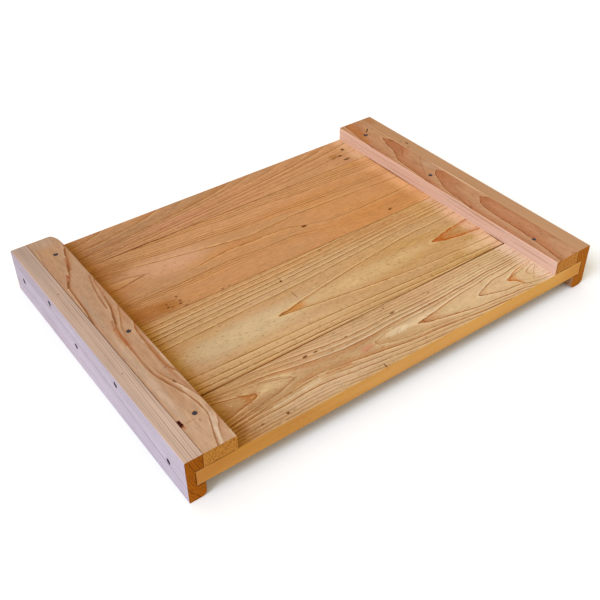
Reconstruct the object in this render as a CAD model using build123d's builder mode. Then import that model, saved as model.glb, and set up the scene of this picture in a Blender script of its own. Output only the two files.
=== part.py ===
# Migratory cover for a ten-frame hive: four boards laid edge to edge, let into grooved cleats
# that hang below them at both ends, with a batten nailed on top along each cleat.
# Millimetres. X runs along the boards, Y from front to back and Z up, from the bottom centre.
import os
from math import radians, tan

from build123d import *
from build123d.topology import SkipClean

os.makedirs("parts", exist_ok=True)

# Overall size
cover_length = 565.0
cover_width = 413.0

# Boards from the back to the front, where the front board takes what is left of the width
board_thickness = 20.0
back_board_width = 61.5
rear_middle_board_width = 136.0
front_middle_board_width = 133.0
tight_seam = 0.2
open_seam = 0.8
board_arris = 0.4

# End cleats: the lip hangs below the boards, and the groove takes their ends
cleat_thickness = 20.0
lip_depth = 19.0
lip_round = 6.5
right_lip_outer_round = 8.0
groove_depth = 9.5
groove_clearance = 0.2
cleat_edge_round = 1.2

# Battens, laid on the boards against the cleats
batten_width = 38.0
batten_thickness = 19.0
batten_edge_round = 1.2
worn_corner_length = 26.0
worn_corner_width = 9.0

# Wire nails with sunk heads: each bite is how far a nail goes into the last piece that it holds
nail_head_diameter = 4.8
nail_head_angle = 90.0
nail_head_sink = 0.6
nail_shank_diameter = 2.8
nail_point_length = 3.5
nail_clearance = 0.05
batten_nail_bite = 15.0
board_end_nail_bite = 34.0
batten_side_nail_bite = 24.0

# Places of the nails. A nail that holds a board is given by the board and by how far it stands
# behind the board's middle. A batten nail also has its distance inwards of the batten's middle,
# and a nail from a cleat into a batten its distance behind the cover's middle.
batten_nail_places = {
    "left": (("back_board", -9.0, 2.0), ("front_middle_board", 47.0, 7.0), ("front_board", 8.5, 2.0)),
    "right": (("back_board", -9.0, 2.5), ("rear_middle_board", -48.5, 3.5), ("front_board", 8.5, 5.0)),
}
board_end_nail_places = {
    "left": (("back_board", 3.0), ("rear_middle_board", -44.0), ("front_board", -6.0)),
    "right": (("back_board", 3.0), ("front_middle_board", 24.0), ("front_board", -6.0)),
}
batten_side_nail_places = {
    "left": (96.0, -67.0),
    "right": (96.0, -67.0),
}

# Levels and faces that the pieces share
half_length = cover_length / 2
half_width = cover_width / 2
board_top = lip_depth + board_thickness
board_middle = lip_depth + board_thickness / 2
cover_height = board_top + batten_thickness
batten_middle = board_top + batten_thickness / 2
cleat_inner = half_length - cleat_thickness
tongue_length = groove_depth - groove_clearance
board_end = cleat_inner + tongue_length
groove_floor = cleat_inner + groove_depth
batten_inner = cleat_inner - batten_width
batten_axis = cleat_inner - batten_width / 2

# Nail holes and the lengths of the nails that fill them
head_slope = tan(radians(nail_head_angle / 2))
shank_hole_radius = nail_shank_diameter / 2 + nail_clearance
head_hole_radius = nail_head_diameter / 2 + nail_clearance + nail_head_sink * head_slope
batten_nail_length = batten_thickness + batten_nail_bite - nail_head_sink
board_end_nail_length = half_length - board_end + board_end_nail_bite - nail_head_sink
batten_side_nail_length = cleat_thickness + batten_side_nail_bite - nail_head_sink

# Each board's width and the seam in front of it
front_board_width = (
    cover_width
    - back_board_width
    - rear_middle_board_width
    - front_middle_board_width
    - 2 * tight_seam
    - open_seam
)
board_layout = (
    ("back_board", back_board_width, tight_seam),
    ("rear_middle_board", rear_middle_board_width, tight_seam),
    ("front_middle_board", front_middle_board_width, open_seam),
    ("front_board", front_board_width, 0.0),
)
board_middles = {}
back_edge = half_width
for board_name, board_width, seam in board_layout:
    board_middles[board_name] = back_edge - board_width / 2
    back_edge -= board_width + seam

sides = {"left": -1, "right": 1}


def outward_plane(side, distance):
    """A plane square to the boards that faces outwards, with its own Y up."""
    return Plane(origin=(side * distance, 0, 0), x_dir=(0, side, 0), z_dir=(side, 0, 0))


def batten_nail_points(side_name):
    """Where the nails enter the batten, seen from above."""
    side = sides[side_name]
    return [
        (board, side * (batten_axis - inwards), board_middles[board] + behind)
        for board, behind, inwards in batten_nail_places[side_name]
    ]


def board_end_nail_points(side_name):
    """Where the nails meet the board ends, on an outward plane."""
    side = sides[side_name]
    return [
        (board, side * (board_middles[board] + behind), board_middle)
        for board, behind in board_end_nail_places[side_name]
    ]


def batten_side_nail_points(side_name):
    """Where the nails meet the batten's side, on an outward plane."""
    side = sides[side_name]
    return [(side * behind, batten_middle) for behind in batten_side_nail_places[side_name]]


def wire_nail(length):
    """A nail that points down, its head sunk below the level of its origin, its point cut by four flats."""
    head_radius = nail_head_diameter / 2
    shank_radius = nail_shank_diameter / 2
    head_top = -nail_head_sink
    head_foot = head_top - (head_radius - shank_radius) / head_slope
    tip = head_top - length
    with BuildPart() as nail:
        with BuildSketch(Plane.XZ):
            with BuildLine():
                Polyline(
                    (0, head_top),
                    (head_radius, head_top),
                    (shank_radius, head_foot),
                    (shank_radius, tip),
                    (0, tip),
                    close=True,
                )
            make_face()
        revolve(axis=Axis.Z)
        for turn in (0, 90, 180, 270):
            flat_normal = Vector(-nail_point_length, 0, shank_radius).rotate(Axis.Z, turn)
            split(bisect_by=Plane(origin=(0, 0, tip), z_dir=flat_normal), keep=Keep.TOP)
    return nail.part


# Boards: the span between the cleats keeps its own faces, apart from the tongues in the grooves,
# so that the underside of the span is the seat that the hive's rim meets
for board_name, board_width, _ in board_layout:
    with BuildPart() as board:
        with BuildSketch(Plane.YZ) as section:
            with Locations((board_middles[board_name], board_middle)):
                Rectangle(board_width, board_thickness)
            chamfer(section.vertices(), board_arris)
        extrude(amount=cleat_inner, both=True)
        for side_name in sides:
            for nailed_board, x, y in batten_nail_points(side_name):
                if nailed_board == board_name:
                    with Locations((x, y, board_top)):
                        Hole(shank_hole_radius, depth=batten_nail_bite)
        with SkipClean():
            extrude(board.faces().filter_by(Axis.X), amount=tongue_length)
            for side_name, side in sides.items():
                for nailed_board, across, up in board_end_nail_points(side_name):
                    if nailed_board == board_name:
                        with Locations(outward_plane(side, board_end)):
                            with Locations((across, up)):
                                Hole(shank_hole_radius, depth=board_end_nail_bite)
    board.part.label = board_name
    export_step(board.part, f"parts/{board_name}.step")

# Cleats: one grooved section run across the cover, its lip rounded where it guides the hive,
# and the right one's lip rounded on its outer edge as well
lip_outer_rounds = {"left": cleat_edge_round, "right": right_lip_outer_round}
for side_name, side in sides.items():
    board_end_points = [(across, up) for _, across, up in board_end_nail_points(side_name)]
    with BuildPart() as cleat:
        with BuildSketch(Plane.XZ):
            with BuildLine():
                FilletPolyline(
                    (side * half_length, 0),
                    (side * half_length, cover_height),
                    (side * cleat_inner, cover_height),
                    (side * cleat_inner, board_top + groove_clearance),
                    (side * groove_floor, board_top + groove_clearance),
                    (side * groove_floor, lip_depth),
                    (side * cleat_inner, lip_depth),
                    (side * cleat_inner, 0),
                    radius=(lip_outer_rounds[side_name], cleat_edge_round, 0, 0, 0, 0, 0, lip_round),
                    close=True,
                )
            make_face()
        extrude(amount=half_width, both=True)
        with Locations(outward_plane(side, half_length)):
            with Locations(*board_end_points, *batten_side_nail_points(side_name)):
                CounterSinkHole(shank_hole_radius, head_hole_radius, cleat_thickness, nail_head_angle)
    cleat.part.label = f"{side_name}_end_cleat"
    export_step(cleat.part, f"parts/{side_name}_end_cleat.step")

# Battens: the edge towards the middle of the cover is rounded where hands lift it,
# and the left one's back corner is worn away as a quarter of an ellipse
for side_name, side in sides.items():
    with BuildPart() as batten:
        with BuildSketch(Plane.XZ):
            with BuildLine():
                FilletPolyline(
                    (side * cleat_inner, board_top),
                    (side * cleat_inner, cover_height),
                    (side * batten_inner, cover_height),
                    (side * batten_inner, board_top),
                    radius=(0, 0, batten_edge_round, 0),
                    close=True,
                )
            make_face()
        extrude(amount=half_width, both=True)
        with Locations(*[(x, y, cover_height) for _, x, y in batten_nail_points(side_name)]):
            CounterSinkHole(shank_hole_radius, head_hole_radius, batten_thickness, nail_head_angle)
        with Locations(outward_plane(side, cleat_inner)):
            with Locations(*batten_side_nail_points(side_name)):
                Hole(shank_hole_radius, depth=batten_side_nail_bite)
        if side_name == "left":
            with BuildSketch(Plane.XY.offset(board_top)):
                with BuildLine():
                    wear = EllipticalCenterArc(
                        (side * batten_inner - worn_corner_width, half_width - worn_corner_length),
                        worn_corner_width,
                        worn_corner_length,
                    )
                    Polyline(wear @ 1, (side * batten_inner, half_width), wear @ 0)
                make_face()
            extrude(amount=batten_thickness, mode=Mode.SUBTRACT)
    batten.part.label = f"{side_name}_batten"
    export_step(batten.part, f"parts/{side_name}_batten.step")

# Nails, grouped by the joint that they hold
batten_nail = wire_nail(batten_nail_length)
board_end_nail = wire_nail(board_end_nail_length)
batten_side_nail = wire_nail(batten_side_nail_length)
for side_name, side in sides.items():
    with BuildPart() as batten_nails:
        with Locations(*[(x, y, cover_height) for _, x, y in batten_nail_points(side_name)]):
            add(batten_nail)
    batten_nails.part.label = f"{side_name}_batten_nails"
    export_step(batten_nails.part, f"parts/{side_name}_batten_nails.step")

    with BuildPart() as board_end_nails:
        with Locations(outward_plane(side, half_length)):
            with Locations(*[(across, up) for _, across, up in board_end_nail_points(side_name)]):
                add(board_end_nail)
    board_end_nails.part.label = f"{side_name}_cleat_board_nails"
    export_step(board_end_nails.part, f"parts/{side_name}_cleat_board_nails.step")

    with BuildPart() as batten_side_nails:
        with Locations(outward_plane(side, half_length)):
            with Locations(*batten_side_nail_points(side_name)):
                add(batten_side_nail)
    batten_side_nails.part.label = f"{side_name}_cleat_batten_nails"
    export_step(batten_side_nails.part, f"parts/{side_name}_cleat_batten_nails.step")
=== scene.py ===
# Looks of the migratory cover: planed pine boards, cleats and battens with their own grain figure,
# and wire nails sunk below the wood. Metres in Blender; wood figures are given in millimetres.
from types import SimpleNamespace

import bpy
import numpy as np
from mathutils import Matrix, Vector


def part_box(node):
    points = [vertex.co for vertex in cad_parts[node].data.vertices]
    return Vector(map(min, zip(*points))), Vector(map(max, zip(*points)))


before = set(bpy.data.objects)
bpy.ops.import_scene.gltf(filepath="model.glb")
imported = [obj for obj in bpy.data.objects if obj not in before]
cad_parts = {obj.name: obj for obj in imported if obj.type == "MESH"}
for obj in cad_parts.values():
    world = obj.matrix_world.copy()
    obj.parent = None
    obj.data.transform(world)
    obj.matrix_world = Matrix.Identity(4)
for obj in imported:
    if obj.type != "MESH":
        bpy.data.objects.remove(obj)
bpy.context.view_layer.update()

X, Y, Z = range(3)
MM_PER_METRE = 1000.0


def in_millimetres(box):
    """A box's lowest and highest corners in millimetres, to a thousandth."""
    return np.round(np.array(box) * MM_PER_METRE, 3).tolist()


# Faces of the cover that the wood figures are measured from, in millimetres
_, (HALF_LENGTH, HALF_WIDTH, BATTEN_TOP) = in_millimetres(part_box("right_end_cleat"))
(_, _, BOARD_BOTTOM), (BOARD_END, _, BOARD_TOP) = in_millimetres(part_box("front_board"))
(BATTEN_INNER, _, _), (CLEAT_INNER, _, _) = in_millimetres(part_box("right_batten"))
BOARD_MIDDLE = (BOARD_BOTTOM + BOARD_TOP) / 2
BATTEN_AXIS = (BATTEN_INNER + CLEAT_INNER) / 2
BATTEN_MIDDLE = (BOARD_TOP + BATTEN_TOP) / 2

# Lengths along the grain and widths across it of the noises, in millimetres, and their detail. Pine's fibres
# and pores are far finer than a pixel, so those and the flecks are drawn at least ten times as coarse.
NOISES = dict(
    slow=(140.0, 34.0, 2.0),
    quick=(16.0, 4.0, 2.0),
    patch=(70.0, 14.0, 2.0),
    broad=(150.0, 30.0, 2.0),
    blush=(90.0, 30.0, 2.0),
    fibre=(22.0, 1.0, 2.0),
    fleck=(6.0, 1.3, 1.0),
    mottle=(16.0, 5.0, 3.0),
    streak=(240.0, 0.8, 1.0),
)
NOISE_ROUGHNESS = 0.5
FINE_LENGTH = 260.0
FINE_WIDTH = 1.8
PORE_WIDTH = 1.3
CRUMB_WIDTH = 2.0

# Scale, detail and roughness of the other noises. Only the film's place isn't divided by a width first, so
# its scale counts spots in a millimetre.
FINE_NOISE = (1.0, 2.0, 0.6)
CRUMB_NOISE = (1.0, 2.0, 0.5)
FILM_NOISE = (1.2, 3.0, 0.6)

# Each effect comes in between these two values of its noise
COMES_IN = dict(
    ring_fading=(0.3, 0.65),
    cloud=(0.25, 0.75),
    blush=(0.45, 0.75),
    light=(0.25, 0.75),
    dark_fleck=(0.64, 0.72),
    pale_fleck=(0.36, 0.28),
    streak=(0.37, 0.43),
    pores=(0.46, 0.68),
    film=(0.35, 0.65),
)

# The ground leans by this share towards the colour of each end
DRIFT = 0.4

# Steps between rings: where the change lies in the gap between two, how wide it is, and how far the last
# ring reaches, in millimetres. A line that stays level still needs the least rise to be scaled by.
CHANGE_SHARE = 0.4
CHANGE_WIDTH = 0.02
LAST_REACH = 6.0
LEAST_RISE = 0.001

# The share of a ring's rim that is fully dark, and the least sine, so that a ring which the face only
# grazes doesn't spread without end
RIM_CORE = 0.4
LEAST_SINE = 0.08

# A face turns into an edge or an end as its normal's part across or along the grain grows between these two.
# On edges, the show face's figure still comes through a little, and streaks lighten less than they darken.
# On ends, late wood is fainter than the rims, and pores come near to the darker colour.
TURNED = (0.55, 0.85)
EDGE_SHARE = 0.9
PALE_STREAK = 0.1
LATE_ARC_SHARE = 0.5
PORE_SHARE = 0.9

# The share of a spot's reach that has its full strength, how far the skins of spots and of marks wander, how
# deep a spot goes below the show face unless it says so, and how deep marks go behind the other faces
FORM_CORE = 0.3
SPOT_UNEVENNESS = 0.15
MARK_UNEVENNESS = 0.45
SPOT_DEPTH = 12.0
FACE_SKIN = 3.0

# Dark rings round the nails' heads are iron bled into the wood together with painted shade of the sunk holes.
# Nails stand further apart than the gap, in millimetres.
NAIL_GAP = 10.0
NAIL_RING_DEPTH = 5.0
NAIL_RING_STRENGTH = 1.6
CLEAT_NAIL_RING = 4.7

# Pine's shine: the IOR of wood, but open fibres that scatter nearly all of the gloss. Their relief has a
# strength, and a height in metres.
PINE_ROUGHNESS = 0.6
PINE_IOR = 1.5
PINE_GLOSS = 0.03
FIBRE_RELIEF = 0.25
FIBRE_HEIGHT = 0.0002

# Shine of the dulled steel and of the paper
STEEL_METALLIC = 0.5
STEEL_ROUGHNESS = 0.7
PAPER_ROUGHNESS = 0.9

# Colours that the pieces share
SPECK = "#5E2A00"
SEAM = "#6A3408"
WARM_SEAM = "#8E4C10"
OPEN_SEAM = "#7A3C04"
# Painted shade along the foot of the left batten: a tint for the front board, then layers multiplied in from
# the widest to the narrowest
SHADE = "#9C5802"
WIDE_SHADE = "#F6F5F2"
FOOT_SHADE = "#FAEDDF"
FOOT_DEEP_SHADE = "#FFF4A2"
# Dark rings round the nails' heads: iron and rust in the wood, with painted shade of the sunk holes
IRON_AND_HOLE_SHADE = "#1E1620"
RUST_AND_HOLE_SHADE = "#2E160A"
RESIN = "#A65212"
PALE = "#DECBB0"
BLUSH = "#B8785A"
JOINT = "#4A2606"
EDGE_LINE = "#6E5240"


def linear(hex_colour):
    """Turns an sRGB hex colour into linear RGBA."""
    coded = np.array([int(hex_colour[start:start + 2], 16) for start in (1, 3, 5)]) / 255.0
    light = np.where(coded <= 0.04045, coded / 12.92, ((coded + 0.055) / 1.055) ** 2.4)
    return (*light.tolist(), 1.0)


def put(tree, kind, *inputs, **settings):
    """Adds a shader node. Settings are its own properties, and inputs go in order to its sockets in use,
    as a link, a value, or None to leave the socket alone. Gives the first output in use."""
    node = tree.nodes.new("ShaderNode" + kind)
    for name, value in settings.items():
        setattr(node, name, value)
    sockets = [socket for socket in node.inputs if socket.enabled]
    for socket, given in zip(sockets, inputs):
        if isinstance(given, bpy.types.NodeSocket):
            tree.links.new(given, socket)
        elif given is not None:
            socket.default_value = given
    return next((socket for socket in node.outputs if socket.enabled), None)


def bare_material(name):
    """A new material and its empty tree of nodes."""
    material = bpy.data.materials.new(name)
    material.use_nodes = True
    material.node_tree.nodes.clear()
    return material, material.node_tree


def dress(node, material):
    """Gives a piece its one material."""
    node.data.materials.clear()
    node.data.materials.append(material)


def place_in_millimetres(tree):
    """The place on the piece, in the shared frame."""
    place = put(tree, "TexCoord").node.outputs["Object"]
    return put(tree, "VectorMath", place, MM_PER_METRE, operation="SCALE")


def read_line(tree, source, points, handle):
    """Reads a line drawn through a few points: the source picks a place along the first numbers,
    and the result lies between the second ones."""
    places, levels = np.array(points, float).T
    low = levels.min()
    high = max(levels.max(), low + LEAST_RISE)
    share = put(tree, "MapRange", source, places[0], places[-1], 0.0, 1.0)
    read = put(tree, "FloatCurve", 1.0, share)
    line = read.node.mapping.curves[0]
    for place, level in zip(places[1:-1], levels[1:-1]):
        line.points.new((place - places[0]) / (places[-1] - places[0]), (level - low) / (high - low))
    line.points[0].location = (0.0, (levels[0] - low) / (high - low))
    line.points[-1].location = (1.0, (levels[-1] - low) / (high - low))
    for point in line.points:
        point.handle_type = handle
    read.node.mapping.update()
    return put(tree, "MapRange", read, 0.0, 1.0, low, high)


def ring_lines(rings):
    """Four lines over the radius, in steps that change between one ring and the next: the distance from the
    nearest ring's edge, negative inside it, and that ring's darkness, width of late wood and resin."""
    radii = np.array([ring[0] for ring in rings])
    changes = radii[:-1] + CHANGE_SHARE * np.diff(radii)
    starts = np.concatenate([[0.0], changes])
    ends = np.concatenate([changes - CHANGE_WIDTH, [radii[-1] + LAST_REACH]])
    places = np.stack([starts, ends], 1).ravel()
    edge_offset = places - np.repeat(radii, 2)
    columns = [np.repeat([ring[column] for ring in rings], 2) for column in (1, 2, 3)]
    return [np.stack([places, column], 1) for column in (edge_offset, *columns)]


def through_face(numbers, wood, value):
    """Completes two numbers on the show face with the one that goes into the wood. Three stay as they are."""
    axis = wood["down"]
    return numbers if len(numbers) == 3 else (*numbers[:axis], value, *numbers[axis:])


def within(tree, reach, ragged, strength):
    """Full strength deep inside a form and nothing beyond its uneven skin, which lies at a reach of one."""
    reach = put(tree, "Math", reach, ragged, operation="ADD")
    return put(tree, "MapRange", reach, FORM_CORE, 1.0, strength, 0.0, interpolation_type="SMOOTHSTEP")


def nearness(tree, wood, place, middle, half_size, ragged, strength):
    """How deep a place lies in an ellipsoid with an uneven skin: full strength inside, nothing outside."""
    middle = through_face(middle, wood, wood["face"])
    half_size = through_face(half_size, wood, SPOT_DEPTH)
    reach = put(tree, "VectorMath", place, middle, operation="SUBTRACT")
    reach = put(tree, "VectorMath", reach, half_size, operation="DIVIDE")
    reach = put(tree, "VectorMath", reach, operation="LENGTH")
    return within(tree, reach, ragged, strength)


def stroke(tree, wood, place, start, end, half_width, ragged, strength):
    """How deep a place lies in a stroke with round ends and an uneven skin, from one point to another."""
    start = through_face(start, wood, wood["face"])
    run = Vector(through_face(end, wood, wood["face"])) - Vector(start)
    reach = put(tree, "VectorMath", place, start, operation="SUBTRACT")
    share = put(tree, "VectorMath", reach, run / run.length_squared, operation="DOT_PRODUCT")
    share = put(tree, "MapRange", share, 0.0, 1.0, 0.0, 1.0)
    nearest = put(tree, "VectorMath", run, share, operation="SCALE")
    reach = put(tree, "VectorMath", reach, nearest, operation="SUBTRACT")
    reach = put(tree, "VectorMath", reach, operation="LENGTH")
    reach = put(tree, "Math", reach, half_width, operation="DIVIDE")
    return within(tree, reach, ragged, strength)


def lay_spots(tree, wood, place, tone, spots, ragged, blend="MIX"):
    """Lays coloured spots over a tone, one after the other."""
    for middle, half_size, colour, strength in spots:
        share = nearness(tree, wood, place, middle, half_size, ragged, strength)
        tone = put(tree, "Mix", share, tone, linear(colour), data_type="RGBA", blend_type=blend)
    return tone


def place_in_wood(tree, wood):
    """What the layers of the wood read, in millimetres: the place, how far it lies along and across the grain
    and below the show face, which way its face looks and how square that is to the grain, and the noises."""
    place = place_in_millimetres(tree)
    axes = put(tree, "SeparateXYZ", place).node.outputs
    along = axes[wood["along"]]
    across = axes[wood["across"]]
    outward = wood["outward"]
    depth = put(tree, "Math", axes[wood["down"]], -outward, outward * wood["face"], operation="MULTIPLY_ADD")
    facing = put(tree, "TexCoord").node.outputs["Normal"]
    facing = put(tree, "SeparateXYZ", facing).node.outputs
    squarely = put(tree, "Math", facing[wood["along"]], operation="ABSOLUTE")

    # Noises drawn out along the grain, each from its own length and width
    grain = put(tree, "CombineXYZ", along, across, depth)
    noises = {}
    for use, (length, width, detail) in NOISES.items():
        spread = put(tree, "VectorMath", grain, (1 / length, 1 / width, 1 / width), operation="MULTIPLY")
        shifted = put(tree, "VectorMath", spread, wood["seed"], operation="ADD")
        noises[use] = put(tree, "TexNoise", shifted, 1.0, detail, NOISE_ROUGHNESS)
    uneven = put(tree, "MapRange", noises["mottle"], 0.0, 1.0, -SPOT_UNEVENNESS, SPOT_UNEVENNESS)
    return SimpleNamespace(
        place=place, along=along, across=across, depth=depth, facing=facing, squarely=squarely,
        noises=noises, uneven=uneven,
    )


def growth_rings(tree, wood, at):
    """Rings as tubes round a pith line: how far from the pith a place lies, and how much shows there of a
    ring's dark rim, of the pale early wood beyond it, of the late wood inside it and of resin."""
    # Distance from the pith line, made uneven by slow and by quick wander
    pith_across = read_line(tree, at.along, wood["pith_line"], "AUTO")
    pith_depth = read_line(tree, at.along, wood["pith_depth"], "AUTO")
    side = put(tree, "Math", at.across, pith_across, operation="SUBTRACT")
    under = put(tree, "Math", pith_depth, at.depth, operation="SUBTRACT")
    away = put(tree, "CombineXYZ", side, under, 0.0)
    radius = put(tree, "VectorMath", away, operation="LENGTH")
    for use, reach in wood["wander"].items():
        swing = put(tree, "MapRange", at.noises[use], 0.0, 1.0, -reach, reach)
        radius = put(tree, "Math", radius, swing, operation="ADD")
    lines = ring_lines(wood["rings"])
    offset, darkness, late_width, resin = [read_line(tree, radius, line, "VECTOR") for line in lines]

    # Rings fade in patches, and more in calm spots
    shown = put(tree, "MapRange", at.noises["patch"], *COMES_IN["ring_fading"], wood["faded"], 1.0)
    for middle, half_size, strength in wood["calm"]:
        calm = nearness(tree, wood, at.place, middle, half_size, at.uneven, strength)
        kept = put(tree, "Math", 1.0, calm, operation="SUBTRACT")
        shown = put(tree, "Math", shown, kept, operation="MULTIPLY")
    shown = put(tree, "Math", shown, darkness, operation="MULTIPLY")

    # A ring's dark rim and the pale early wood beyond it keep their widths on the face, so the offset from
    # the ring's edge is divided by the sine of the angle at which the face cuts the ring
    crossed = put(tree, "Math", side, at.facing[wood["down"]], operation="MULTIPLY")
    turned = put(tree, "Math", at.facing[wood["across"]], -wood["outward"], operation="MULTIPLY")
    crossed = put(tree, "Math", under, turned, crossed, operation="MULTIPLY_ADD")
    crossed = put(tree, "Math", crossed, operation="ABSOLUTE")
    crossed = put(tree, "Math", crossed, radius, operation="DIVIDE")
    crossed = put(tree, "Math", crossed, at.squarely, operation="MAXIMUM")
    crossed = put(tree, "Math", crossed, LEAST_SINE, operation="MAXIMUM")
    face_offset = put(tree, "Math", offset, crossed, operation="DIVIDE")
    inside = put(tree, "MapRange", face_offset, 0.0, wood["soft"], 1.0, 0.0)
    rim_width = wood["rim_width"]
    rim = put(tree, "MapRange", face_offset, -rim_width, -RIM_CORE * rim_width, 0.0, inside)
    rim = put(tree, "Math", rim, shown, operation="MULTIPLY")
    beyond = put(tree, "MapRange", face_offset, 0.0, wood["soft"], 0.0, 1.0)
    early = put(tree, "MapRange", face_offset, wood["early_width"], wood["soft"], 0.0, beyond)
    early = put(tree, "Math", early, shown, operation="MULTIPLY")
    late = put(tree, "Math", offset, late_width, operation="DIVIDE")
    late = put(tree, "Math", late, 1.0, operation="ADD", use_clamp=True)
    late = put(tree, "Math", late, inside, operation="MULTIPLY")
    late = put(tree, "Math", late, shown, operation="MULTIPLY")
    return SimpleNamespace(radius=radius, rim=rim, early=early, late=late, resin=resin)


def show_face(tree, wood, at, rings, drift):
    """Colours of the show face: a ground that changes from one end of the piece to the other, tinted spots,
    the parts of the rings, and strokes over them where a ring's tip or a streak stands out."""
    first, last = (linear(colour) for colour in wood["ground"])
    tone = put(tree, "Mix", drift, first, last, data_type="RGBA")
    blush = put(tree, "MapRange", at.noises["blush"], *COMES_IN["blush"], 0.0, wood["blush_share"])
    tone = put(tree, "Mix", blush, tone, linear(BLUSH), data_type="RGBA")
    tone = lay_spots(tree, wood, at.place, tone, wood["patches"], at.uneven)
    early_tone = lay_spots(tree, wood, at.place, linear(wood["early"]), wood["pale"], at.uneven)
    tone = put(tree, "Mix", rings.early, tone, early_tone, data_type="RGBA")
    for share, colour in ((rings.late, wood["late"]), (rings.rim, wood["line"])):
        ring_tone = put(tree, "Mix", rings.resin, linear(colour), linear(RESIN), data_type="RGBA")
        tone = put(tree, "Mix", share, tone, ring_tone, data_type="RGBA")
    for start, end, half_width, colour, strength in wood["strokes"]:
        share = stroke(tree, wood, at.place, start, end, half_width, at.uneven, strength)
        tone = put(tree, "Mix", share, tone, linear(colour), data_type="RGBA")
    return tone


def fibres(tree, wood, at, radius, tone):
    """Fine lines that follow the rings, and fibres, mottle and short flecks that follow the grain. Gives the
    tone and the height of the relief."""
    fine_along = put(tree, "Math", at.along, 1 / FINE_LENGTH, operation="MULTIPLY")
    fine_radius = put(tree, "Math", radius, 1 / FINE_WIDTH, operation="MULTIPLY")
    fine_place = put(tree, "CombineXYZ", fine_along, fine_radius, 0.0)
    fine = put(tree, "TexNoise", fine_place, *FINE_NOISE, noise_dimensions="2D")
    noises = dict(fine=fine, fibre=at.noises["fibre"], mottle=at.noises["mottle"])
    lights = {}
    for use, noise in noises.items():
        lights[use] = put(tree, "MapRange", noise, *COMES_IN["light"], 1.0 - wood[use], 1.0 + wood[use])
        tone = put(tree, "Mix", 1.0, tone, lights[use], data_type="RGBA", blend_type="MULTIPLY")
    for use, colour in (("dark_fleck", wood["line"]), ("pale_fleck", wood["early"])):
        share = put(tree, "MapRange", at.noises["fleck"], *COMES_IN[use], 0.0, wood["fleck"])
        tone = put(tree, "Mix", share, tone, linear(colour), data_type="RGBA")
    height = put(tree, "Math", lights["fibre"], lights["fine"], operation="ADD")
    return tone, height


def edge_grain(tree, wood, at, rings, drift):
    """Edges show straight streaks, and dark lines where rings come out."""
    first, last = (linear(colour) for colour in wood["edge"])
    tone = put(tree, "Mix", drift, first, last, data_type="RGBA")
    darkest = 1.0 - wood["streak"]
    palest = 1.0 + PALE_STREAK * wood["streak"]
    streak = put(tree, "MapRange", at.noises["streak"], *COMES_IN["streak"], darkest, palest)
    tone = put(tree, "Mix", 1.0, tone, streak, data_type="RGBA", blend_type="MULTIPLY")
    lines = put(tree, "Math", rings.rim, wood["edge_rings"], operation="MULTIPLY")
    return put(tree, "Mix", lines, tone, linear(EDGE_LINE), data_type="RGBA")


def end_grain(tree, wood, at, rings):
    """End grain shows the rings' arcs and open pores, which drink in the light."""
    pore_place = put(tree, "VectorMath", at.place, 1 / PORE_WIDTH, operation="SCALE")
    pores = put(tree, "TexNoise", pore_place, *FINE_NOISE)
    pores = put(tree, "MapRange", pores, *COMES_IN["pores"], 0.0, PORE_SHARE)
    arcs = put(tree, "Math", rings.late, LATE_ARC_SHARE, operation="MULTIPLY")
    arcs = put(tree, "Math", arcs, rings.rim, operation="MAXIMUM")
    dark = put(tree, "Math", arcs, wood["end_rings"], pores, operation="MULTIPLY_ADD", use_clamp=True)
    pale_end, dark_end = (linear(colour) for colour in wood["end"])
    return put(tree, "Mix", dark, pale_end, dark_end, data_type="RGBA")


def planed_pine(name, wood):
    """Bare pine off the planer, a warm and matt wood to the eye: rings are tubes round a pith line that
    wanders below the show face, so that the face cuts them into cathedrals. Fibres run along the grain."""
    material, tree = bare_material(name)
    at = place_in_wood(tree, wood)
    rings = growth_rings(tree, wood, at)

    # The ground drifts from one end of the piece to the other, in cloudy patches
    (first_end, _), *_, (last_end, _) = wood["pith_line"]
    drift = put(tree, "MapRange", at.along, first_end, last_end, -DRIFT, DRIFT)
    cloud = put(tree, "MapRange", at.noises["broad"], *COMES_IN["cloud"], 0.0, 1.0)
    drift = put(tree, "Math", drift, cloud, operation="ADD", use_clamp=True)

    tone = show_face(tree, wood, at, rings, drift)
    tone, height = fibres(tree, wood, at, rings.radius, tone)
    tone = lay_spots(tree, wood, at.place, tone, wood["shades"], at.uneven, "MULTIPLY")
    edge = put(tree, "Math", at.facing[wood["across"]], operation="ABSOLUTE")
    edge = put(tree, "MapRange", edge, *TURNED, 0.0, EDGE_SHARE)
    tone = put(tree, "Mix", edge, tone, edge_grain(tree, wood, at, rings, drift), data_type="RGBA")
    end = put(tree, "MapRange", at.squarely, *TURNED, 0.0, 1.0)
    tone = put(tree, "Mix", end, tone, end_grain(tree, wood, at, rings), data_type="RGBA")

    # Specks, knots, seams and stains, and painted shade at holes and gaps and painted highlights along
    # joints, each an uneven little ellipsoid
    crumb_place = put(tree, "VectorMath", at.place, 1 / CRUMB_WIDTH, operation="SCALE")
    crumbs = put(tree, "TexNoise", crumb_place, *CRUMB_NOISE)
    crumbs = put(tree, "MapRange", crumbs, 0.0, 1.0, -MARK_UNEVENNESS, MARK_UNEVENNESS)
    tone = lay_spots(tree, wood, at.place, tone, wood["marks"], crumbs)

    bump = put(tree, "Bump", FIBRE_RELIEF, FIBRE_HEIGHT, None, height)
    shader = put(tree, "BsdfPrincipled", tone, 0.0, PINE_ROUGHNESS, PINE_IOR, None, bump)
    shader.node.inputs["Specular IOR Level"].default_value = PINE_GLOSS
    put(tree, "OutputMaterial", shader)
    return material


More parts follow.
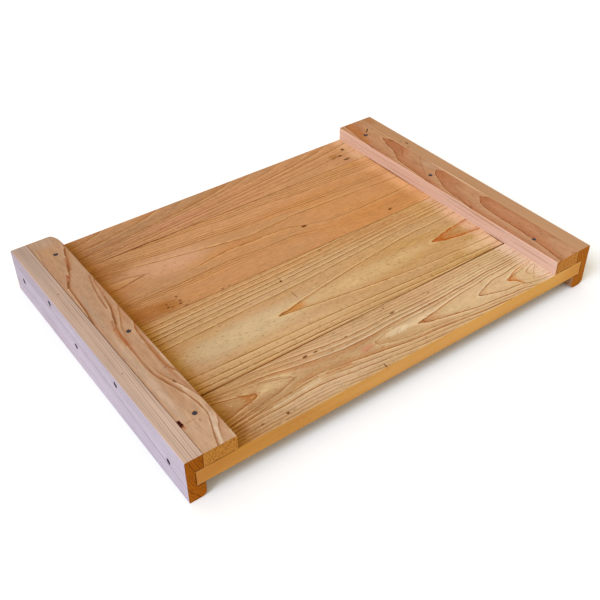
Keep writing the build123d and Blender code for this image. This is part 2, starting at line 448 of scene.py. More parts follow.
def dulled_wire_steel():
    """Drawn steel under a film that has dulled it to a spotted blue grey, so it is only half metallic."""
    material, tree = bare_material("dulled_wire_steel")
    film = put(tree, "TexNoise", place_in_millimetres(tree), *FILM_NOISE)
    film = put(tree, "MapRange", film, *COMES_IN["film"], 0.0, 1.0)
    tone = put(tree, "Mix", film, linear("#221D25"), linear("#48414E"), data_type="RGBA")
    put(tree, "OutputMaterial", put(tree, "BsdfPrincipled", tone, STEEL_METALLIC, STEEL_ROUGHNESS))
    return material


def white_paper():
    """Matt paper, which shows nothing but the cover's soft shadow."""
    material, tree = bare_material("white_paper")
    put(tree, "OutputMaterial", put(tree, "BsdfPrincipled", linear("#F4F4F2"), 0.0, PAPER_ROUGHNESS))
    return material


def nail_places(node_name):
    """Middles of a node's nails from the front to the back, in millimetres: its corners are sorted along the
    batten and parted wherever they leave a gap."""
    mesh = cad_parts[node_name].data
    corners = np.empty(3 * len(mesh.vertices), np.float32)
    mesh.vertices.foreach_get("co", corners)
    corners = corners.reshape(-1, 3) * MM_PER_METRE
    corners = corners[np.argsort(corners[:, Y])]
    partings = np.flatnonzero(np.diff(corners[:, Y]) > NAIL_GAP) + 1
    return [((nail.min(0) + nail.max(0)) / 2).tolist() for nail in np.split(corners, partings)]


def batten_rust_and_shade(side, half_widths):
    """Rust and painted shade of the sunk holes round the heads of a batten's nails, from the front to the
    back.
    """
    nails = zip(nail_places(f"{side}_batten_nails"), half_widths)
    return [((x, y), (size, size, NAIL_RING_DEPTH), RUST_AND_HOLE_SHADE, NAIL_RING_STRENGTH) for (x, y, _), size in nails]


def cleat_iron_and_shade(side):
    """Iron bled into the wood, and painted shade of the sunk holes, round the heads of a cleat's nails."""
    nails = nail_places(f"{side}_cleat_board_nails") + nail_places(f"{side}_cleat_batten_nails")
    half_size = (NAIL_RING_DEPTH, CLEAT_NAIL_RING, CLEAT_NAIL_RING)
    return [((y, z), half_size, IRON_AND_HOLE_SHADE, NAIL_RING_STRENGTH) for _, y, z in nails]


def seam_marks(board, **seams):
    """Dark lines along a board's front and back edges, each from the seam that the edge is given."""
    (_, front, _), (_, back, _) = in_millimetres(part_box(board))
    edges = dict(front=front, back=back)
    return [
        ((x, edges[edge]), (half_length, half_width, depth), colour, strength)
        for edge, seam in seams.items()
        for x, half_length, half_width, depth, colour, strength in SEAMS[seam]
    ]


def joint_marks(side):
    """Dark lines where a cleat meets the boards' tongue and the batten, on both ends of the cleat."""
    tongue_middle = side * (CLEAT_INNER + BOARD_END) / 2
    lines = (
        ((side * (BOARD_END + 0.5), BOARD_MIDDLE), (1.0, 12.0), 0.9),
        ((tongue_middle, BOARD_TOP + 0.6), (6.5, 1.0), 0.9),
        ((tongue_middle, BOARD_BOTTOM - 0.4), (6.5, 1.0), 0.9),
        ((side * (CLEAT_INNER + 0.3), BATTEN_MIDDLE), (0.9, 11.0), 0.8),
    )
    return [
        ((x, y, z), (half_width, FACE_SKIN, half_height), JOINT, strength)
        for y in (-HALF_WIDTH, HALF_WIDTH)
        for (x, z), (half_width, half_height), strength in lines
    ]


# Dark lines along the seams between the boards: each has its middle and half length along the seam,
# half width, depth, colour and strength. The front seam stands open towards its right end.
SEAMS = dict(
    rear_seam=((-140, 95, 1.2, 3, SEAM, 1.0), (60, 260, 1.0, 3, SEAM, 0.5)),
    middle_seam=((0, 420, 0.8, 3, SEAM, 0.4),),
    front_seam=(
        (160, 130, 0.9, 1.2, OPEN_SEAM, 0.9),
        (-225, 50, 1.2, 4, SEAM, 0.8),
        (-110, 130, 1.2, 4, WARM_SEAM, 0.6),
    ),
)

# Boards are darker and warmer along the foot of the left batten, painted shade where the batten keeps the
# window's light off, and paler along the foot of the right one, a painted glow of light thrown back by that
# batten. These spots run on past both sides of the cover.
PAST_SIDES = 900.0
LEFT_FOOT = (-BATTEN_INNER - 1.5, 0)
FOOT = tuple(
    (LEFT_FOOT, (half_width, PAST_SIDES), shade, 1.0)
    for half_width, shade in ((130, WIDE_SHADE), (50, FOOT_SHADE), (28, FOOT_DEEP_SHADE))
)
# Painted glow of light thrown back off the right batten onto the boards along its foot: the rings fade and
# the ground pales there
PAINTED_GLOW_FOOT = ((BATTEN_INNER + 3.5, 0), (30, PAST_SIDES))

# How each kind of piece lies: the axes along the grain, across it and into the wood from the show face
BOARD = dict(along=X, across=Y, down=Z, face=BOARD_TOP, outward=1.0)
BATTEN = dict(along=Y, across=X, down=Z, face=BATTEN_TOP, outward=1.0)
LEFT_CLEAT = dict(along=Y, across=Z, down=X, face=-HALF_LENGTH, outward=-1.0)
RIGHT_CLEAT = dict(along=Y, across=Z, down=X, face=HALF_LENGTH, outward=1.0)

# What a piece has unless it says otherwise. Rings wander and fade, with a soft edge, a dark rim and early
# wood of so many millimetres. Calm spots fade the rings, patches tint the ground under them, pale spots
# lighten their early wood, strokes lie over them, shades darken all of that, and marks lie on top.
COMMON = dict(
    wander=dict(slow=0.6, quick=0.35), faded=0.5, soft=0.3, rim_width=1.6, early_width=3.0,
    fine=0.05, fibre=0.1, fleck=0.5, mottle=0.08, streak=0.15, blush_share=0.25,
    edge=("#B07F48", "#B07F48"), edge_rings=0.0, end=("#B4762E", "#8E5014"), end_rings=0.8,
    calm=(), patches=(), pale=(), strokes=(), shades=(), marks=(),
)

# The right cleat's rings are even, as its broad face is a guess
EVEN_RADII = np.arange(30.0, 96.0, 4.1).tolist()

# Figures of the eight pieces of pine, in millimetres. The pith line and its depth below the show face are
# given along the grain, and a ring by its radius, darkness, width of late wood and resin. A spot or mark has
# its middle, half sizes, colour and strength, and a stroke its two ends, half width, colour and strength.
woods = {
    # Narrow board: slanting lines, and three dark specks near its right end
    "back_board": dict(
        COMMON, **BOARD, seed=(3.1, 7.7, 1.3), fine=0.04,
        pith_line=((-226, 212), (226, 212)),
        pith_depth=((-226, 21.6), (-100, 40), (0, 50), (100, 58.3), (226, 67.3)),
        rings=(
            (31.9, 0.9, 3, 0), (36.5, 0.2, 3, 0), (42.2, 0.85, 4, 0), (47, 0.2, 3, 0), (53.2, 0.9, 4, 0),
            (56, 0.6, 2, 0), (60, 0.4, 3, 0), (63.5, 0.5, 2, 0), (65.7, 0.8, 4, 0), (69.7, 0.7, 3, 0),
            (75, 0.35, 4, 0), (79.6, 0.4, 4, 0),
        ),
        ground=("#A37955", "#BC8659"), early="#C89A68", late="#9E6638", line="#7A4620", blush_share=0.3,
        calm=((*PAINTED_GLOW_FOOT, 0.5),),
        shades=FOOT,
        patches=(
            # Painted glow off the right batten
            (*PAINTED_GLOW_FOOT, "#E0B48C", 0.6),
            ((-75, 165), (85, 16), "#BC7E62", 0.6),
            ((185, 172), (11, 7), "#94602A", 0.8),
        ),
        marks=(
            ((209, 180), (4.6, 3.4), "#5A3408", 1.0),
            ((195, 168), (5.0, 3.0), "#5A3408", 1.0),
            ((197, 155.5), (8.0, 2.8), "#5A3408", 1.0),
            ((183, 167), (5.0, 2.0), "#7A4818", 0.7),
            *seam_marks("back_board", front="rear_seam"),
        ),
    ),
    # Reddish board: a quiet middle between bundles of lines, with specks near the left batten
    "rear_middle_board": dict(
        COMMON, **BOARD, seed=(8.2, 2.4, 5.9), fine=0.03,
        pith_line=(
            (-226, 90), (-197, 88.5), (-167, 85.5), (-123, 82), (-60, 79.7), (-20, 75.5), (24, 75),
            (53, 71), (100, 65), (226, 63),
        ),
        pith_depth=(
            (-226, 24), (-197, 28.1), (-167, 31.6), (-123, 35.2), (-60, 38.9), (-20, 39.4), (24, 39.0),
            (53, 37.1), (100, 35.2), (160, 36), (226, 37.8),
        ),
        rings=(
            (10, 0.5, 3, 0), (20, 0.5, 3, 0), (31.6, 0.1, 1.2, 0), (40, 0.85, 0.9, 0), (44.5, 0.2, 2, 0),
            (48.6, 0.85, 2.4, 0), (51.4, 0.75, 1.6, 0), (54, 0.55, 1.4, 0), (58, 0.25, 2.4, 0),
            (62.5, 0.25, 2.4, 0), (69, 0.8, 2.8, 0), (72, 0.65, 1.6, 0), (76, 0.75, 2.4, 0),
            (79.6, 0.55, 1.6, 0), (82, 0.6, 2, 0), (85.6, 0.4, 2, 0),
        ),
        ground=("#B0825A", "#BC824D"), early="#CC9C66", late="#A86E3A", line="#804A20", blush_share=0.2,
        calm=(
            ((-20, 26), (420, 24), 0.9),
            ((95, 56), (62, 12), 0.85),
            ((-150, 61), (110, 7), 0.7),
            ((120, 113), (150, 9), 0.8),
            (*PAINTED_GLOW_FOOT, 0.3),
        ),
        shades=FOOT,
        patches=(
            # Painted glow off the right batten
            (*PAINTED_GLOW_FOOT, "#E0A878", 0.7),
            ((-130, 96), (75, 34), "#C49474", 0.7),
            ((-196, 122), (40, 24), "#946034", 0.6),
            ((90, 112), (115, 9), "#B0743C", 0.5),
            ((212, 118), (30, 14), "#D8A070", 0.5),
            ((-192, 22), (34, 22), "#965A1C", 0.6),
            ((-170, 21), (22, 17), "#9A5C20", 0.6),
            ((150, 30), (110, 28), "#B87638", 0.4),
            ((20, 124), (250, 24), "#BE8A62", 0.5),
        ),
        strokes=(
            ((-208, 93.5), (-180, 92.5), 2.2, "#C49A6C", 0.5),
            ((-167, 91.5), (-186, 96.8), 1.1, "#8A5630", 0.7),
            ((-186, 96.8), (-212, 99.6), 1.1, "#8A5630", 0.5),
            ((-160, 89), (-167, 91), 1.1, "#8A5630", 0.5),
            ((-166, 89.2), (-182, 86.6), 1.3, "#7E4A24", 0.85),
            ((-182, 86.6), (-196, 83.6), 1.3, "#7E4A24", 0.75),
            ((-196, 83.6), (-214, 82.4), 1.3, "#7A4A20", 0.7),
        ),
        marks=(
            ((48, 56.5), (5.6, 3.4), SPECK, 1.0),
            ((162, 20), (4.6, 2.6), SPECK, 0.9),
            ((-155.7, 30.5), (2.8, 2.2), SPECK, 0.8),
            ((-155.7, 21.9), (2.8, 2.2), SPECK, 0.8),
            ((-157.6, 17.1), (2.6, 2.2), SPECK, 0.9),
            ((-173.3, 18.5), (2.8, 2.2), SPECK, 0.8),
            ((-172.6, 23.8), (2.6, 2.2), SPECK, 0.55),
            ((-168.5, 17), (3.4, 1.8), SPECK, 0.5),
            ((-154, 10), (3.2, 1.8), SPECK, 0.55),
            ((-104, 11), (2.4, 1.8), SPECK, 0.6),
            ((-95, 11), (2.0, 1.6), SPECK, 0.5),
            *seam_marks("rear_middle_board", back="rear_seam", front="middle_seam"),
            # Painted shade in the gap under the right batten's inner foot
            ((BATTEN_INNER - 1, 95), (1.2, 90, 3), "#7A4210", 0.8),
        ),
    ),
    # Pale board: long lines, and a resinous cathedral tip near the right batten
    "front_middle_board": dict(
        COMMON, **BOARD, seed=(5.5, 9.1, 2.2), wander=dict(slow=0.2, quick=0.15), fleck=0.6, mottle=0.05,
        pith_line=((-226, -70), (140, -69.2), (155, -68.8), (175, -70), (226, -70)),
        pith_depth=(
            (-226, 48.4), (-110, 45.7), (-79, 44.95), (-62, 44.8), (-45, 44.4), (0, 42.6), (100, 35.8),
            (140, 32.7), (155, 32.2), (166, 32.05), (175, 31.6), (185, 31.05), (200, 30.4), (226, 29.4),
        ),
        rings=(
            (12, 0.6, 3, 0), (22, 0.7, 3, 0), (32.2, 1.0, 2.2, 1), (37.4, 0.25, 2, 0),
            (44.9, 0.95, 0.7, 0.3), (55.6, 0.9, 1.8, 0), (61.9, 0.85, 1.8, 0), (67.5, 0.95, 1.8, 0),
            (72.2, 0.9, 1.8, 0), (77.9, 0.9, 1.8, 0), (84.7, 0.8, 2.0, 0),
        ),
        ground=("#B7916C", "#B58A55"), early="#D0AE7C", late="#B0803F", line="#784618", blush_share=0.1,
        calm=((*PAINTED_GLOW_FOOT, 0.3), ((150, 1), (130, 10), 0.9)),
        shades=FOOT,
        patches=(
            # Painted glow off the right batten
            (*PAINTED_GLOW_FOOT, "#E2B494", 0.7),
            ((-20, 0), (340, 16), "#B27C4A", 0.55),
            ((205, -106), (42, 17), "#DAB68E", 0.6),
            ((-120, -70), (130, 28), "#CAB28A", 0.6),
            ((-80, -105), (130, 20), "#C8A478", 0.5),
            ((60, -70), (130, 18), "#C8A674", 0.6),
            ((150, -12), (110, 20), "#B97F42", 0.35),
            ((125, -3), (90, 7), "#AE7A4C", 0.6),
            ((195, 0), (30, 22), "#BE8E56", 0.5),
            ((-58, -69), (22, 7.5), "#BE7E3E", 0.85),
        ),
        strokes=(
            ((88, -11.8), (185, -7.8), 1.6, "#C09464", 0.75),
            ((85, -14.5), (185, -10.3), 1.1, "#9C6C3C", 0.6),
            ((60, -22), (190, -18.3), 1.8, "#A67542", 0.5),
            ((155, -68.5), (161, -68.5), 1.6, "#84502A", 0.7),
            ((163, -69.5), (170, -70), 3.5, RESIN, 0.7),
            ((158, -67.5), (176, -63.6), 2.2, RESIN, 0.85),
            ((176, -63.6), (195, -60), 2.2, RESIN, 0.85),
            ((195, -60), (224, -57), 1.4, "#A8602A", 0.7),
            ((160, -70), (172, -75), 2.4, RESIN, 0.85),
            ((172, -75), (200, -80.3), 2.4, RESIN, 0.85),
            ((200, -80.3), (224, -83), 1.8, "#B06A30", 0.7),
        ),
        marks=(
            ((-42, -19.5), (2.4, 2.2), SPECK, 1.0),
            ((-41, -13), (1.0, 6), SPECK, 0.5),
            ((-44, -50), (0.9, 11), SPECK, 0.6),
            ((32, 2), (5, 1.7), SPECK, 0.5),
            *seam_marks("front_middle_board", back="middle_seam", front="front_seam"),
            # Painted shade in the gap under the right batten's inner foot
            ((BATTEN_INNER - 1, -112), (1.2, 26, 3), "#6A3406", 0.8),
        ),
    ),
    # Front board: nested cathedrals, specks along its back edge and a notch in its front edge
    "front_board": dict(
        COMMON, **BOARD, seed=(1.7, 4.8, 8.8), wander=dict(slow=0.25, quick=0.3), fine=0.03,
        pith_line=(
            (-226, -155), (-166, -157), (-124, -158.5), (-60, -167), (-22, -171), (38, -174.5),
            (125, -179), (172, -180), (190, -182), (201, -183), (226, -184),
        ),
        pith_depth=(
            (-226, 20.6), (-215, 22.5), (-192, 25.3), (-178, 26.35), (-166, 26.85), (-158, 27.0),
            (-146, 28.0), (-124, 30.0), (-95, 31.2), (-60, 31.1), (-22, 30.0), (0, 28.6), (22, 27.3),
            (38, 26.9), (50, 26.6), (62, 26.1), (80, 24.9), (100, 23.2), (118, 21.6), (125, 21.3),
            (131, 21.0), (150, 19.0), (162, 17.4), (172, 17.0), (180, 16.4), (186, 15), (201, 11),
            (226, 6),
        ),
        rings=(
            (6, 0.7, 2, 0), (11, 0.7, 1, 0), (17, 1.0, 1.2, 1), (21.3, 0.85, 1.2, 0),
            (26.9, 1.0, 1.2, 0.25), (30, 0.45, 2.4, 0), (33, 1.0, 3.6, 0.2), (36.3, 0.6, 1.8, 0),
            (40.4, 0.8, 2.4, 0), (44.2, 0.3, 2.6, 0), (47.2, 0.5, 2.0, 0), (50.6, 0.35, 2.4, 0),
            (54.4, 0.35, 2.4, 0),
        ),
        ground=("#AC875F", "#C1A275"), early="#D2B084", late="#AC784A", line="#7C4A22", blush_share=0.3,
        edge=("#B97D37", "#D29942"), streak=0.1,
        calm=(
            ((-180, -131), (70, 9), 0.7),
            ((-115, -180), (46, 4.5), 0.9),
            ((-150, -174), (52, 6.5), 0.85),
            ((200, -193), (26, 9), 0.85),
            (*PAINTED_GLOW_FOOT, 0.5),
        ),
        pale=(
            ((-20, -152), (130, 12), PALE, 0.8),
            ((120, -160), (120, 40), PALE, 0.5),
        ),
        shades=FOOT,
        patches=(
            # Painted shade reaching furthest out from the foot of the left batten
            (LEFT_FOOT, (90, PAST_SIDES), SHADE, 0.22),
            ((-207, -188), (8, 9), "#7E4418", 0.5),
            # Painted glow off the right batten
            (*PAINTED_GLOW_FOOT, "#E6C6AE", 0.75),
            ((-35, -171), (14, 7), BLUSH, 0.6),
            ((-165, -136), (80, 12), "#B08458", 0.6),
            ((-177, -156), (13, 8), "#AE6E34", 0.75),
            ((-142, -154), (26, 13), "#CDAE82", 0.6),
            ((-55, -138), (75, 14), "#CBA680", 0.45),
            ((-100, -192), (120, 13), "#CAAA8A", 0.6),
            ((-212, -138), (24, 14), "#8C5E34", 0.25),
            ((50, -165), (30, 14), "#D6BC98", 0.55),
            ((10, -168), (34, 8), "#DAC4A0", 0.7),
            ((182, -181), (9, 5), "#C07C2C", 0.8),
            ((150, -172), (110, 40), "#D6B48C", 0.4),
        ),
        strokes=(
            ((-187, -147.5), (-171, -157.5), 2.2, "#A0642E", 0.7),
            ((-171, -159), (-185, -164.3), 2.0, "#A0642E", 0.6),
            ((-174, -152), (-165.5, -156.8), 1.0, "#A06C48", 0.6),
            ((-165.5, -156.8), (-170, -162), 1.0, "#A06C48", 0.5),
            ((-126, -158.5), (-140, -152), 1.4, "#96683F", 0.5),
            ((-140, -152), (-162, -145), 1.4, "#96683F", 0.5),
            ((-123, -160.5), (-143, -166.5), 1.8, "#96683F", 0.55),
            ((-143, -166.5), (-172, -171.5), 1.8, "#94663E", 0.6),
            ((-172, -171.5), (-212, -178), 1.6, "#8A5A30", 0.6),
            ((-212, -184), (-172, -178), 1.3, "#8A5626", 0.7),
            ((-172, -178), (-140, -175.6), 1.4, "#94602F", 0.75),
            ((-140, -175.6), (-104, -173.4), 1.3, "#94602F", 0.75),
            ((-165, -182.5), (-125, -180.4), 3.0, "#C9AE8C", 0.45),
            ((-125, -180.4), (-106, -178.6), 4.6, "#C9AE8C", 0.55),
            ((-93, -176), (-64, -179.2), 2.8, "#A87348", 0.75),
            ((173, -179), (181, -185.5), 2.0, "#B26A24", 0.8),
            ((181, -185.5), (185, -194), 2.2, "#AC6628", 0.85),
            ((185, -194), (191, -200), 1.4, "#96703E", 0.7),
            ((175, -178.3), (192, -175.6), 1.4, "#96622E", 0.7),
            ((192, -175.6), (220, -170.3), 1.0, "#A0703E", 0.5),
            ((222, -177), (209, -187), 1.0, "#B0825E", 0.6),
            ((209, -187), (201, -195), 1.0, "#A87C56", 0.6),
            ((201, -195.5), (213, -201), 1.0, "#B0885E", 0.5),
        ),
        marks=(
            ((50, -HALF_WIDTH, BOARD_MIDDLE), (260, FACE_SKIN, 16), "#DEAA69", 0.35),
            ((272, -HALF_WIDTH, BOARD_MIDDLE), (45, FACE_SKIN, 16), "#B46C32", 0.45),
            ((-262, -HALF_WIDTH, BOARD_MIDDLE), (40, FACE_SKIN, 16), "#B46C32", 0.2),
            ((-187, -163.5), (2.4, 1.4), SPECK, 0.5),
            ((-97, -141.5), (4.6, 1.9), SPECK, 1.0),
            ((-83, -142), (4.4, 1.8), SPECK, 0.9),
            ((25, -142), (5.2, 1.8), SPECK, 0.9),
            ((-42, -142.5), (2.8, 1.5), SPECK, 0.6),
            ((82, -140), (2.8, 1.5), SPECK, 0.6),
            ((22, -130.5), (2.4, 1.5), SPECK, 0.6),
            ((-159, -197), (3.0, 2.2), SPECK, 1.0),
            ((-188, -194.5), (3.0, 1.6), SPECK, 0.7),
            ((57, -161), (2.6, 1.4), SPECK, 0.5),
            ((-37, -203.5), (1.2, 4.6, 5), SPECK, 1.0),
            *seam_marks("front_board", back="front_seam"),
        ),
    ),
    # Left batten: slanting bands, and a dark notch near its front end
    "left_batten": dict(
        COMMON, **BATTEN, seed=(6.6, 3.2, 4.1), wander=dict(slow=0.5, quick=0.6), fleck=0.3, mottle=0.11,
        soft=0.6, rim_width=2.2, early_width=4.5,
        pith_line=((-207, -205), (207, -205)),
        pith_depth=(
            (-207, 43.8), (-190, 48), (-175, 51.7), (-160, 53.6), (-150, 53.3), (-140, 52.5),
            (-120, 49.8), (-100, 45.2), (-90, 42.8), (-80, 41.1), (-60, 40.8), (-40, 41.3), (-20, 41.8),
            (0, 44.3), (10, 47.2), (30, 51.1), (50, 53.3), (75, 54.5), (90, 55.3), (100, 57.2),
            (110, 61.2), (120, 64), (130, 66.4), (140, 68.5), (160, 71), (178, 73), (207, 75),
        ),
        rings=(
            (30, 0.1, 4, 0), (48.9, 0.8, 4.0, 0.25), (56.3, 0.5, 3.4, 0.1), (60, 0.75, 3.2, 0.1),
            (76, 0.9, 3.0, 0.05), (90, 0.1, 4, 0),
        ),
        ground=("#AF896B", "#A47F61"), early="#B69272", late="#9E683E", line="#7A4824", blush_share=0.2,
        end=("#BC8137", "#713A0F"), end_rings=0.25,
        calm=(
            ((-260, -150), (10, 75), 0.95),
            ((-241.5, -48), (6.5, 50), 0.9),
        ),
        pale=(
            ((-236, -197), (6, 28), PALE, 1.0),
            ((-229.5, -160), (4.5, 34), PALE, 1.0),
            ((-233, -122), (5, 26), PALE, 0.9),
        ),
        patches=(
            ((-226.0, -60), (3, 44), "#D0B498", 0.5),
            ((-231.5, -80), (3.5, 44), "#9E6440", 0.5),
            ((-242, -110), (6, 40), "#A87A50", 0.5),
            ((-247, -22), (4, 26), "#A8663E", 0.6),
            ((-229, 20), (8, 34), "#A87450", 0.5),
            ((-255, -90), (7, 120), "#B99C84", 0.65),
            ((-255, -58), (8, 30), "#A98A70", 0.5),
            ((-231, -58), (5, 28), "#A0714E", 0.4),
            ((-255, 45), (8, 60), "#A0866E", 0.55),
            ((-245, -186), (24, 40), "#BA9A7C", 0.5),
            ((-247, 170), (10, 40), "#A8805A", 0.5),
            ((-245, 202), (24, 24), "#A38A76", 0.6),
        ),
        strokes=(
            ((-227.5, 104), (-231.5, 80), 4.6, "#9E7052", 0.5),
            ((-231.5, 80), (-236.0, 44), 5.2, "#A27658", 0.4),
            ((-239.9, 112), (-238.6, 104), 1.4, "#9A7054", 0.6),
            ((-250, 92.4), (-246, 93.4), 1.4, "#9A7054", 0.5),
            ((-235.5, 152), (-240.6, 130), 3.8, "#98603F", 0.7),
            ((-229.5, -92), (-232, -40), 3.5, "#9C6842", 0.35),
            ((-227.5, -125), (-231, -88), 2.0, "#98633E", 0.55),
            ((-241, -207), (-235.6, -186), 3.2, "#BFA58A", 0.85),
            ((-235.6, -186), (-229.6, -166), 2.4, "#C2A88E", 0.8),
            ((-229.6, -166), (-229.2, -148), 2.0, "#C0A285", 0.8),
            ((-229.2, -148), (-234, -122), 1.8, "#BE9E80", 0.7),
            ((-226, -207), (-225, -196), 2.0, "#C2A688", 0.8),
            ((-247.6, -30), (-247.2, 0), 3.4, "#98582F", 0.6),
            ((-247, 0), (-243.4, 14), 2.4, "#8E5834", 0.6),
            ((-242, 8), (-238.5, 22), 1.8, "#784A2A", 0.9),
            ((-238.5, 22), (-233.8, 36), 1.6, "#84502E", 0.8),
            ((-233.8, 36), (-230.6, 58), 1.5, "#8A5834", 0.7),
            ((-238.2, 38), (-236.3, 62), 1.5, "#845230", 0.8),
            ((-236.3, 62), (-232.8, 82), 1.4, "#8A5836", 0.75),
            ((-232.8, 82), (-227.5, 104), 1.4, "#8E5C3A", 0.65),
            ((-257, 97), (-253, 107), 2.0, "#764824", 0.9),
            ((-253, 107), (-248.5, 119), 1.6, "#8A4A26", 0.7),
            ((-242.4, 127), (-239.2, 137), 2.6, "#7E4A28", 0.85),
            ((-239.2, 137), (-235, 150), 1.5, "#86502E", 0.7),
            ((-232.8, 158), (-228.4, 171), 1.8, "#7E4C2A", 0.8),
        ),
        marks=(
            # A notch near the front end that is not modelled: its near-black core is painted shade of the
            # hollow
            ((-260.4, -164.0), (3.2, 4.8), "#380C04", 1.4),
            ((-260.6, -159.6), (3.0, 4.4), "#380C04", 1.4),
            ((-259.5, -168), (3.0, 4.0), "#A05A30", 0.6),
            ((-251, -164), (9.0, 2.2), "#96663E", 0.35),
            ((-248.4, 117), (2.2, 7), "#94482A", 0.7),
            ((-235.5, -107), (1.8, 4.2), SPECK, 0.7),
            ((-233, -84), (2.6, 1.4), SPECK, 0.45),
            ((-242, -168), (1.6, 2.2), SPECK, 0.35),
            ((-CLEAT_INNER, 0), (1.2, 420, 4), JOINT, 0.95),
            ((-BATTEN_AXIS, -HALF_WIDTH, BOARD_TOP + 0.2), (21, FACE_SKIN, 1.0), JOINT, 0.8),
            *batten_rust_and_shade("left", (3.5, 3.6, 3.6)),
        ),
    ),
    # Right batten: broad tongues of late wood, and a slit near its back end
    "right_batten": dict(
        COMMON, **BATTEN, seed=(2.9, 6.3, 7.4), wander=dict(slow=0.5, quick=0.4), faded=0.75,
        pith_line=((-207, 254), (207, 254)),
        pith_depth=(
            (-207, 29.5), (-150, 34), (-78, 35.4), (-51, 37.8), (-36, 39), (-20, 39.8), (10, 44),
            (34, 46.5), (80, 48.3), (110, 52.5), (150, 53.9), (207, 57),
        ),
        rings=(
            (22, 0.3, 5, 0), (30, 0.3, 6, 0), (37.8, 0.9, 6.6, 0.15), (46.5, 0.95, 7.6, 0.15),
            (53.7, 0.95, 6.4, 0.15), (60.5, 0.8, 5, 0), (68, 0.7, 5, 0),
        ),
        ground=("#AE8261", "#AA7752"), early="#BA8E6A", late="#9E613D", line="#6E3818",
        # Its edges are pale pink, partly the wood's own colour and partly painted window light, as the inner
        # face catches it
        edge=("#D3AE9C", "#D3AB95"), streak=0.3, end=("#BE7E36", "#7A4415"),
        patches=(
            ((256, 50), (9, 22), "#AA8668", 0.7),
            ((241, 188), (13, 34), "#A4663C", 0.6),
            ((255, -14), (7, 13), "#A06A46", 0.5),
            ((246, 64), (8, 16), "#A06B49", 0.5),
            ((256, 165), (9, 34), "#AE8460", 0.6),
        ),
        strokes=(
            ((238, 38), (249, 57), 1.8, "#94623E", 0.4),
            ((249, 57), (262, 74), 1.8, "#946644", 0.5),
            ((242, 87), (259, 109), 2.2, "#9A5634", 0.5),
            ((231, 150), (240, 206), 7.5, "#A4642E", 0.65),
            # A slit that is not modelled: its darkness is painted shade
            ((248, 173), (254.5, 179), 1.3, "#4E2608", 1.2),
        ),
        marks=(
            ((BATTEN_INNER, -165, 49.3), (FACE_SKIN, 50, 0.9), "#A88270", 0.7),
            ((BATTEN_INNER, -160, 44.8), (FACE_SKIN, 50, 2.0), "#CDB4A4", 0.5),
            ((BATTEN_INNER, -90, 53.4), (FACE_SKIN, 40, 1.0), "#B07C56", 0.7),
            ((BATTEN_INNER, -75, 56), (FACE_SKIN, 60, 2.0), "#CE9E70", 0.4),
            ((BATTEN_INNER, -60, 48.4), (FACE_SKIN, 50, 1.0), "#B07E64", 0.6),
            ((BATTEN_INNER, 60, 46.5), (FACE_SKIN, 70, 0.9), "#B48470", 0.6),
            ((BATTEN_INNER, 110, 51.5), (FACE_SKIN, 80, 0.9), "#B48470", 0.6),
            ((228, -60), (2.0, 3.4), SPECK, 0.5),
            # Painted highlight along the batten's edge at its joint with the cleat
            ((CLEAT_INNER - 0.9, 0), (0.9, 75, 4), "#D2A888", 0.5),
            ((CLEAT_INNER - 0.3, -130), (1.0, 95, 4), "#845230", 0.6),
            ((BATTEN_AXIS, -HALF_WIDTH, BOARD_TOP + 0.2), (21, FACE_SKIN, 1.0), JOINT, 0.8),
            # Painted shade in the gap between the inner foot and the boards
            ((BATTEN_INNER, 85, BOARD_TOP), (4, 60, 1.0), SEAM, 0.8),
            ((BATTEN_INNER, -112, BOARD_TOP), (4, 24, 1.0), SEAM, 0.8),
            *batten_rust_and_shade("right", (3.4, 3.8, 4.4)),
        ),
    ),
    # Left cleat: long grey lines, on a face that catches the window's light. The lilac grey of its tones is
    # painted cool window light over the wood's own colour
    "left_end_cleat": dict(
        COMMON, **LEFT_CLEAT, seed=(4.4, 1.1, 9.3), rim_width=1.3,
        fine=0.03, fibre=0.06, fleck=0.1, mottle=0.04,
        pith_line=((-207, 87), (-100, 95.5), (0, 102), (100, 106), (207, 108)),
        pith_depth=((-207, 126), (207, 126)),
        rings=(
            (107.5, 0.6, 1, 0), (110, 0.95, 1, 0), (112.8, 0.5, 1, 0), (115.2, 0.9, 1, 0),
            (117.9, 0.5, 1, 0), (120.5, 0.9, 1, 0), (123.4, 0.5, 1, 0), (125.8, 0.85, 1, 0),
            (128.3, 0.5, 1, 0), (130.8, 0.4, 1, 0), (133.2, 0.5, 1, 0), (136, 0.4, 2, 0),
            (142.5, 1.0, 1, 0), (146.5, 0.3, 2, 0), (150.9, 0.35, 2, 0), (155, 0.5, 2, 0),
        ),
        ground=("#B4A7B2", "#AA9AA2"), early="#B8ADBA", late="#94889A", line="#5E5468", blush_share=0.0,
        edge=("#C6A78F", "#A78C78"), streak=0.12, edge_rings=0.6, end=("#A85E0A", "#6E3703"),
        patches=(
            ((0, 18), (120, 22), "#C4B3BD", 0.5),
            ((145, 50), (105, 16), "#96848A", 0.55),
        ),
        marks=(
            ((-272, 0, BATTEN_TOP), (12, 60, 6), "#CFB098", 0.25),
            ((-272, 160, BATTEN_TOP), (12, 75, 6), "#948074", 0.45),
            ((-272.5, -66, BATTEN_TOP), (1.6, 1.6, 4), "#7E5C40", 0.7),
            ((-270.8, 93.5, BATTEN_TOP), (2.0, 1.6, 4), "#7E5C40", 0.8),
            *joint_marks(-1),
            *cleat_iron_and_shade("left"),
        ),
    ),
    # Right cleat: plain, even rings
    "right_end_cleat": dict(
        COMMON, **RIGHT_CLEAT, seed=(9.7, 5.2, 3.6),
        pith_line=((-207, 26), (0, 22), (207, 18)),
        pith_depth=((-207, 62), (207, 62)),
        rings=tuple((radius, 0.5, 2.2, 0) for radius in EVEN_RADII),
        ground=("#AE825F", "#A57A56"), early="#B58C67", late="#9B6A44", line="#7C4E2C",
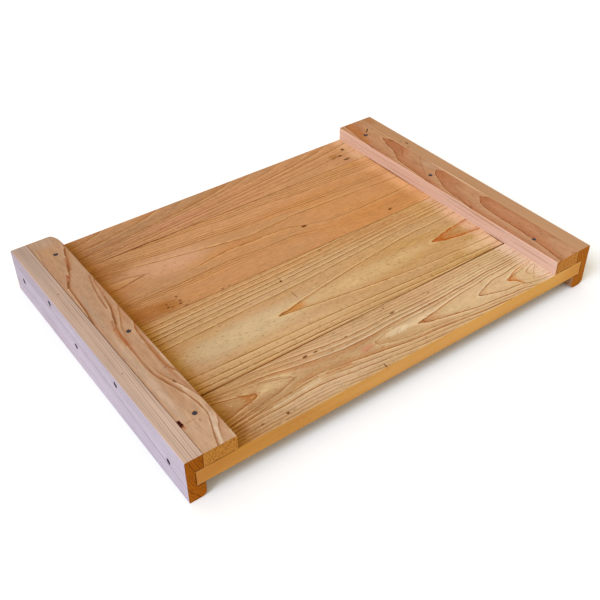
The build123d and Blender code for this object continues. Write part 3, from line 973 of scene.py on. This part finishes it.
        edge=("#B08662", "#AB805C"), end=("#AE640C", "#783F05"),
        marks=(
            ((272.5, 113, BATTEN_TOP), (2.2, 4.2, 4), SPECK, 0.9),
            ((267, 104, BATTEN_TOP), (1.7, 2.4, 4), SPECK, 0.7),
            ((268, 122, BATTEN_TOP), (1.7, 2.2, 4), SPECK, 0.7),
            # Painted highlight along the cleat's inner top edge
            ((CLEAT_INNER + 0.7, 0, BATTEN_TOP), (1.2, 75, 4), "#D8B898", 0.7),
            ((CLEAT_INNER + 0.7, 140, BATTEN_TOP), (1.0, 80, 4), "#CFA27E", 0.5),
            ((CLEAT_INNER + 3.7, 0, BATTEN_TOP), (0.8, 85, 4), "#86603C", 0.5),
            ((CLEAT_INNER + 3.7, 162, BATTEN_TOP), (1.0, 24, 4), "#7E5632", 0.6),
            ((272, 150, BATTEN_TOP), (12, 65, 6), "#A07148", 0.25),
            ((272, 200, BATTEN_TOP), (10, 24, 6), "#9A6238", 0.6),
            *joint_marks(1),
            *cleat_iron_and_shade("right"),
        ),
    ),
}
for node_name, wood in woods.items():
    dress(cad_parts[node_name], planed_pine(f"planed_pine_{node_name}", wood))

# Wire nails
steel = dulled_wire_steel()
for node_name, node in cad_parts.items():
    if node_name.endswith("_nails"):
        dress(node, steel)

# Pale floor under the lips, in metres
FLOOR_REACH = 8.0
corners = [(x * FLOOR_REACH, y * FLOOR_REACH, 0.0) for x, y in ((-1, -1), (1, -1), (1, 1), (-1, 1))]
floor_mesh = bpy.data.meshes.new("floor")
floor_mesh.from_pydata(corners, [], [range(len(corners))])
floor = bpy.data.objects.new("floor", floor_mesh)
bpy.context.scene.collection.objects.link(floor)
dress(floor, white_paper())

# Soft studio light: an even room and one broad window-like light from the left
ROOM_STRENGTH = 0.85
world = bpy.data.worlds.new("room")
bpy.context.scene.world = world
world.use_nodes = True
world.node_tree.nodes.clear()
room = put(world.node_tree, "Background", linear("#FFF6E4"), ROOM_STRENGTH)
put(world.node_tree, "OutputWorld", room)
window = bpy.data.lights.new("left_window", "SUN")
window.energy = 2.5
window.angle = np.radians(30.0)
window.color = linear("#D7E7FF")[:3]
towards_window = Vector((-1.0, -0.15, 1.0))
window_object = bpy.data.objects.new("left_window", window)
window_object.rotation_euler = towards_window.to_track_quat("Z", "Y").to_euler()
bpy.context.scene.collection.objects.link(window_object)

# Camera where the photograph was taken from
look = Vector((0.451237, 0.627509, -0.634522))
right = Vector((0.806254, -0.591457, -0.011557))
up = right.cross(look)
eye = Vector((-0.500445, -0.695031, 0.680036))
camera = bpy.data.cameras.new("camera")
camera.sensor_width = 36.0
camera.lens = 52.544
camera_object = bpy.data.objects.new("camera", camera)
turn = Matrix((right, up, -look)).transposed().to_4x4()
camera_object.matrix_world = Matrix.Translation(eye) @ turn
bpy.context.scene.collection.objects.link(camera_object)
bpy.context.scene.camera = camera_object
bpy.context.scene.view_settings.view_transform = "Standard"
